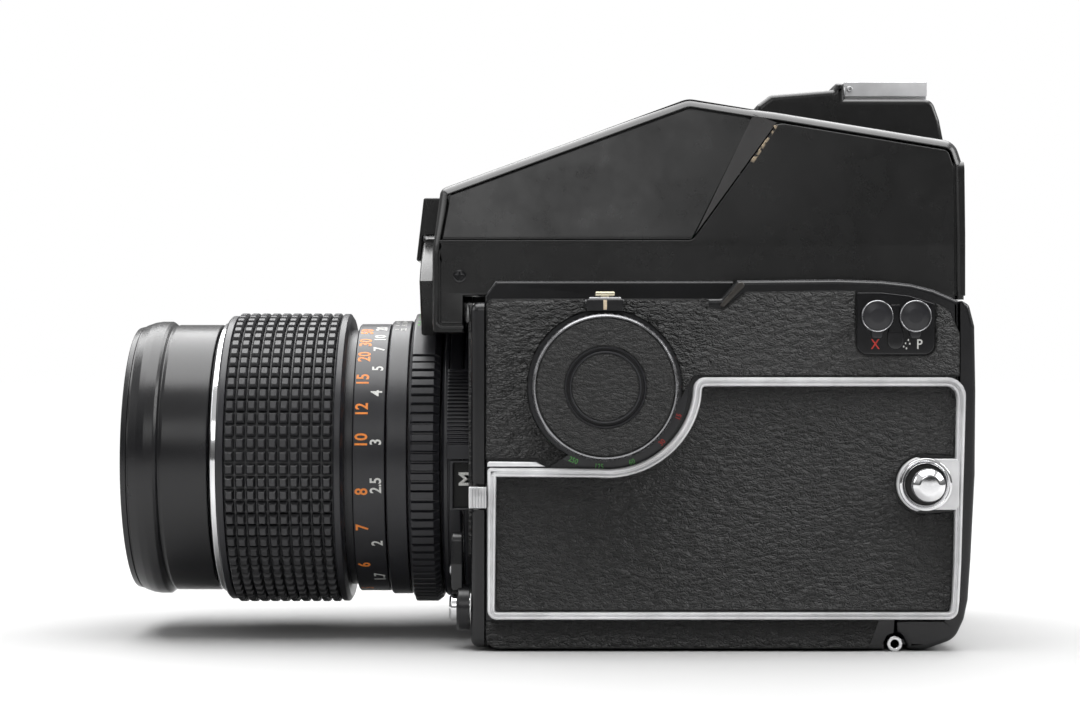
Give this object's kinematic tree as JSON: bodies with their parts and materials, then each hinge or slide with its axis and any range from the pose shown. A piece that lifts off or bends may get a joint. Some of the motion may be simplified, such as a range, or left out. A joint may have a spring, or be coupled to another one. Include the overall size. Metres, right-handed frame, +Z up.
{
  "type": "single lens reflex camera",
  "caption": "Medium format single lens reflex film camera with a focusing short telephoto lens, a metered prism finder, a flip mirror and a hinged film back.",
  "frame": {"origin": "on the underside of the base plate, below the optical axis and half way along the body", "axes": "-Y is where the lens points, +X is the side on the user's left, +Z is up"},
  "size_m": [0.1086, 0.1889, 0.1267],
  "materials": {
    "die_cast_black": "satin black paint on die-cast alloy",
    "cover_black": "satin black",
    "finder_black": "satin black, lightly rubbed",
    "leatherette": "pebbled black leatherette",
    "anodised_black": "satin black anodised",
    "grip_rubber": "matt, waffle pattern",
    "plastic_black": "smooth black",
    "gloss_black": "gloss black",
    "chrome": "polished",
    "steel": "satin",
    "shoe_silver": "fine satin",
    "glass": "coated",
    "mirror": "front silvered",
    "curtain_cloth": "rubberised cloth"
  },
  "bodies": {
    "camera_body": {"body_shell": "die_cast_black", "front_frame": "die_cast_black", "left_cover": "cover_black", "right_cover": "cover_black", "base_plate": "die_cast_black", "tripod_socket": "steel", "left_leather_upper": "leatherette", "left_leather_lower": "leatherette", "left_leather_strip": "leatherette", "left_chrome_frame": "chrome", "right_leather": "leatherette", "strap_lug_left": "chrome", "strap_lug_right": "chrome", "sync_plate": "gloss_black", "dial_index_block": "cover_black", "film_insert": "plastic_black", "pressure_plate": "die_cast_black", "shutter_curtain": "curtain_cloth", "focusing_screen": "glass", "mount_ring": "chrome", "lens_barrel": "anodised_black", "lens_bayonet": "chrome", "depth_scale_ring": "anodised_black", "rear_element": "glass", "iris_plate": "steel"},
    "shutter_dial": {"shutter_dial": "anodised_black", "dial_leather": "leatherette"},
    "dial_lock": {"dial_lock_button": "steel"},
    "self_timer": {"self_timer_lever": "cover_black"},
    "front_release": {"release_button": "chrome"},
    "lens_catch": {"lens_release": "chrome"},
    "sync_cap_x": {"sync_cap_x": "gloss_black"},
    "sync_cap_bulb": {"sync_cap_bulb": "gloss_black"},
    "battery_cover": {"battery_cover": "die_cast_black"},
    "door": {"back_door": "die_cast_black", "door_leather": "leatherette", "hinge_tube": "chrome"},
    "latch": {"door_latch": "cover_black"},
    "feed_spool": {"feed_spool": "plastic_black"},
    "takeup_spool": {"takeup_spool": "plastic_black"},
    "wind_knob": {"wind_knob": "anodised_black"},
    "wind_crank": {"wind_crank": "chrome"},
    "mirror": {"reflex_mirror": "mirror", "mirror_frame": "steel"},
    "mode_lever": {"auto_manual_lever": "anodised_black"},
    "aperture_ring": {"aperture_ring": "anodised_black"},
    "focus_ring": {"focus_barrel": "anodised_black", "focus_grip": "grip_rubber", "focus_trim_ring": "chrome"},
    "front_group": {"front_barrel": "anodised_black", "front_element": "glass", "name_ring": "anodised_black"},
    "hood": {"lens_hood": "anodised_black"},
    "finder": {"finder_housing": "finder_black", "finder_prism": "glass", "eyepiece_ring": "plastic_black", "eyepiece_lens": "glass", "accessory_shoe": "shoe_silver", "nose_plate": "finder_black"},
    "meter_arm": {"coupling_arm": "finder_black"}
  },
  "joints": [
    {"name": "shutter_dial_turn", "type": "hinge", "parent": "camera_body", "child": "shutter_dial", "pos_m": [0.049, -0.0256, 0.0569], "axis": [1, 0, 0], "range_deg": [-150, 150]},
    {"name": "dial_lock_press", "type": "slide", "parent": "camera_body", "child": "dial_lock", "axis": [-1, 0, 0], "range_m": [0, 0.0012], "stiffness_N_per_m": 900, "springref_m": -0.0004},
    {"name": "self_timer_swing", "type": "hinge", "parent": "camera_body", "child": "self_timer", "pos_m": [0.0395, -0.0572, 0.0089], "axis": [0, -1, 0], "range_deg": [0, 100]},
    {"name": "front_release_press", "type": "slide", "parent": "camera_body", "child": "front_release", "axis": [0, 1, 0], "range_m": [0, 0.0015], "stiffness_N_per_m": 700, "springref_m": -0.0008},
    {"name": "lens_release_pull", "type": "slide", "parent": "camera_body", "child": "lens_catch", "axis": [0, 1, 0], "range_m": [0, 0.0012], "stiffness_N_per_m": 1500, "springref_m": -0.001},
    {"name": "sync_cap_x_flip", "type": "hinge", "parent": "camera_body", "child": "sync_cap_x", "pos_m": [0.0465, 0.0329, 0.0674], "axis": [0, 1, 0], "range_deg": [0, 110]},
    {"name": "sync_cap_bulb_flip", "type": "hinge", "parent": "camera_body", "child": "sync_cap_bulb", "pos_m": [0.0465, 0.041, 0.0674], "axis": [0, 1, 0], "range_deg": [0, 110]},
    {"name": "battery_cover_turn", "type": "hinge", "parent": "camera_body", "child": "battery_cover", "pos_m": [0.018, 0.004, 0.001], "axis": [0, 0, -1], "range_deg": [0, 60]},
    {"name": "back_door_swing", "type": "hinge", "parent": "camera_body", "child": "door", "pos_m": [0, 0.0368, 0.00165], "axis": [-1, 0, 0], "range_deg": [0, 100]},
    {"name": "door_latch_slide", "type": "slide", "parent": "door", "child": "latch", "axis": [0, 0, -1], "range_m": [0, 0.003]},
    {"name": "feed_spool_spin", "type": "hinge", "parent": "camera_body", "child": "feed_spool", "pos_m": [0, 0.03, 0.0242], "axis": [1, 0, 0], "continuous": true},
    {"name": "takeup_spool_spin", "type": "hinge", "parent": "camera_body", "child": "takeup_spool", "pos_m": [0, 0.03, 0.0574], "axis": [1, 0, 0], "continuous": true},
    {"name": "wind_knob_turn", "type": "hinge", "parent": "camera_body", "child": "wind_knob", "pos_m": [-0.049, 0.014, 0.04], "axis": [-1, 0, 0], "continuous": true},
    {"name": "wind_crank_fold", "type": "hinge", "parent": "wind_knob", "child": "wind_crank", "pos_m": [-0.0544, 0.006, 0.04], "axis": [0, 0, 1], "range_deg": [0, 180]},
    {"name": "mirror_flip", "type": "hinge", "parent": "camera_body", "child": "mirror", "pos_m": [0, 0, 0.067], "axis": [-1, 0, 0], "range_deg": [0, 45], "stiffness_Nm_per_rad": 0.05, "springref_deg": -22.92},
    {"name": "mode_lever_slide", "type": "hinge", "parent": "camera_body", "child": "mode_lever", "pos_m": [0, -0.0575, 0.04], "axis": [0, -1, 0], "range_deg": [0, 14]},
    {"name": "aperture_ring_turn", "type": "hinge", "parent": "camera_body", "child": "aperture_ring", "pos_m": [0, -0.0656, 0.04], "axis": [0, -1, 0], "range_deg": [-22, 22]},
    {"name": "focus_turn", "type": "hinge", "parent": "camera_body", "child": "focus_ring", "pos_m": [0, -0.095, 0.04], "axis": [0, -1, 0], "range_deg": [0, 170]},
    {"name": "front_group_extend", "type": "slide", "parent": "camera_body", "child": "front_group", "axis": [0, -1, 0], "range_m": [0, 0.0168]},
    {"name": "hood_slide", "type": "slide", "parent": "front_group", "child": "hood", "axis": [0, -1, 0], "range_m": [0, 0.012]},
    {"name": "finder_lift", "type": "slide", "parent": "camera_body", "child": "finder", "axis": [0, 0, 1], "range_m": [0, 0.06]},
    {"name": "meter_arm_swing", "type": "hinge", "parent": "finder", "child": "meter_arm", "pos_m": [0, -0.065, 0.04], "axis": [0, -1, 0], "range_deg": [-22, 22]}
  ],
  "couplings": [
    {"joint": "front_group_extend", "follows": "focus_turn", "m_per_rad": 0.00563},
    {"joint": "meter_arm_swing", "follows": "aperture_ring_turn", "ratio": 1},
    {"joint": "takeup_spool_spin", "follows": "wind_knob_turn", "ratio": -1}
  ]
}
